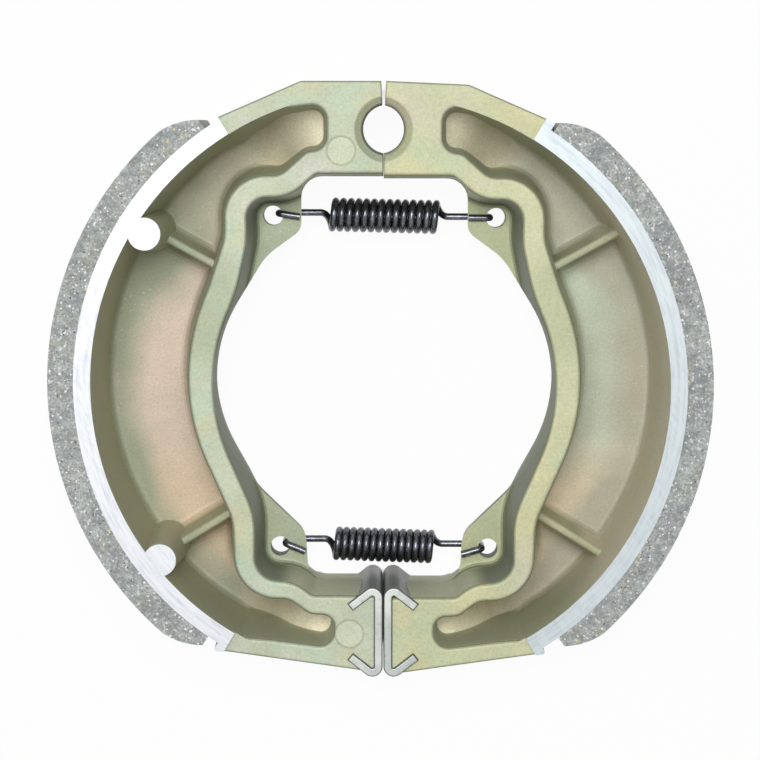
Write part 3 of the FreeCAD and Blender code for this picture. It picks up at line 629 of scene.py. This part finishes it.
def wire_mesh(name, line):
    """Round wire along a centreline."""
    curve = bpy.data.curves.new(name, "CURVE")
    curve.dimensions = "3D"
    curve.bevel_depth = WIRE_RADIUS
    curve.bevel_resolution = WIRE_ROUNDING
    curve.use_fill_caps = True
    spline = curve.splines.new("POLY")
    spline.points.add(len(line) - 1)
    for point, place in zip(spline.points, line):
        point.co = (*place, 1.0)
    drawn = bpy.data.objects.new(name, curve)
    bpy.context.scene.collection.objects.link(drawn)
    depsgraph = bpy.context.evaluated_depsgraph_get()
    mesh = bpy.data.meshes.new_from_object(drawn.evaluated_get(depsgraph))
    bpy.data.objects.remove(drawn)
    return mesh


def make_spring(name, spec, material):
    """The spring as a mesh between the two halves, in place of its CAD node."""
    mesh = wire_mesh(name + "_line", spring_line(spec))
    mesh.materials.clear()
    mesh.materials.append(material)
    mesh.shade_smooth()
    piece = bpy.data.objects.new(name + "_wire", mesh)
    bpy.context.scene.collection.objects.link(piece)
    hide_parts(name)
    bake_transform(piece)


def dress(name, material):
    """Gives a CAD node its material."""
    piece = nodes[name]
    piece.data.materials.clear()
    piece.data.materials.append(material)


def add_lamp(name, place, size, power):
    """A round lamp aimed at the origin."""
    data = bpy.data.lights.new(name, "AREA")
    data.shape = "DISK"
    data.size = size
    data.energy = power
    lamp = bpy.data.objects.new(name, data)
    lamp.location = place
    lamp.rotation_euler = (-Vector(place)).to_track_quat("-Z", "Y").to_euler()
    bpy.context.scene.collection.objects.link(lamp)


def seen_directly(tree):
    """One where a camera, glossy or transmission ray looks, else nothing."""
    path = tree.nodes.new("ShaderNodeLightPath")
    total = path.outputs["Is Camera Ray"]
    for name in ("Is Glossy Ray", "Is Transmission Ray"):
        add = tree.nodes.new("ShaderNodeMath")
        add.operation = "MAXIMUM"
        tree.links.new(total, add.inputs[0])
        tree.links.new(path.outputs[name], add.inputs[1])
        total = add.outputs[0]
    return total


def floor_material():
    """Pale, and white where it is seen directly, but for narrow gaps."""
    s = Shader("floor")
    grey = (FLOOR_GREY, FLOOR_GREY, FLOOR_GREY, 1.0)
    s.set(Base_Color=grey, Roughness=0.9, Specular_IOR_Level=0.0)
    room = s.node("ShaderNodeAmbientOcclusion", {"Distance": GAP_REACH}).outputs["AO"]
    span = {"From Min": GAP_OPENNESS[0], "From Max": GAP_OPENNESS[1], "To Max": FLOOR_SEEN}
    clear = s.node("ShaderNodeMapRange", {"Value": room, **span}).outputs["Result"]
    share = s.times(seen_directly(s.tree), clear)
    glow = s.node("ShaderNodeEmission", {"Strength": 1.0}).outputs[0]
    shaders = {0: share, 1: s.surface.outputs[0], 2: glow}
    blend = s.node("ShaderNodeMixShader", shaders).outputs[0]
    s.link(blend, s.tree.nodes["Material Output"].inputs["Surface"])
    return s.material


def make_floor():
    bpy.ops.mesh.primitive_plane_add(size=FLOOR_SIZE, location=(0, 0, -FLOOR_DROP))
    floor = bpy.context.object
    floor.name = "floor"
    floor.data.materials.append(floor_material())


def make_world():
    """A dim white world that is seen as full white."""
    world = bpy.data.worlds.new("studio")
    world.use_nodes = True
    tree = world.node_tree
    background = tree.nodes["Background"]
    background.inputs["Color"].default_value = (1, 1, 1, 1)
    level = tree.nodes.new("ShaderNodeMapRange")
    level.inputs["To Min"].default_value = WORLD_LIGHT
    level.inputs["To Max"].default_value = WORLD_SEEN
    tree.links.new(seen_directly(tree), level.inputs["Value"])
    tree.links.new(level.outputs["Result"], background.inputs["Strength"])
    bpy.context.scene.world = world


def make_camera():
    data = bpy.data.cameras.new("camera")
    data.lens = CAMERA_LENS
    data.sensor_width = CAMERA_SENSOR
    data.clip_start = CAMERA_CLIP
    camera = bpy.data.objects.new("camera", data)
    camera.location = CAMERA_PLACE
    camera.rotation_euler = [math.radians(angle) for angle in CAMERA_TURN]
    bpy.context.scene.collection.objects.link(camera)
    bpy.context.scene.camera = camera


dress("left_shoe", casting_material("casting_left", LEFT_LOOK))
dress("right_shoe", casting_material("casting_right", RIGHT_LOOK))
lining = lining_material()
dress("left_lining", lining)
dress("right_lining", lining)
plate = plate_material()
dress("left_cam_plate", plate)
dress("right_cam_plate", plate)
wire = spring_material()
for name, spec in SPRINGS.items():
    make_spring(name, spec, wire)

make_floor()
make_world()
make_camera()
for name, (place, size, power) in LAMPS.items():
    add_lamp(name, place, size, power)

bpy.context.scene.view_settings.view_transform = "Standard"
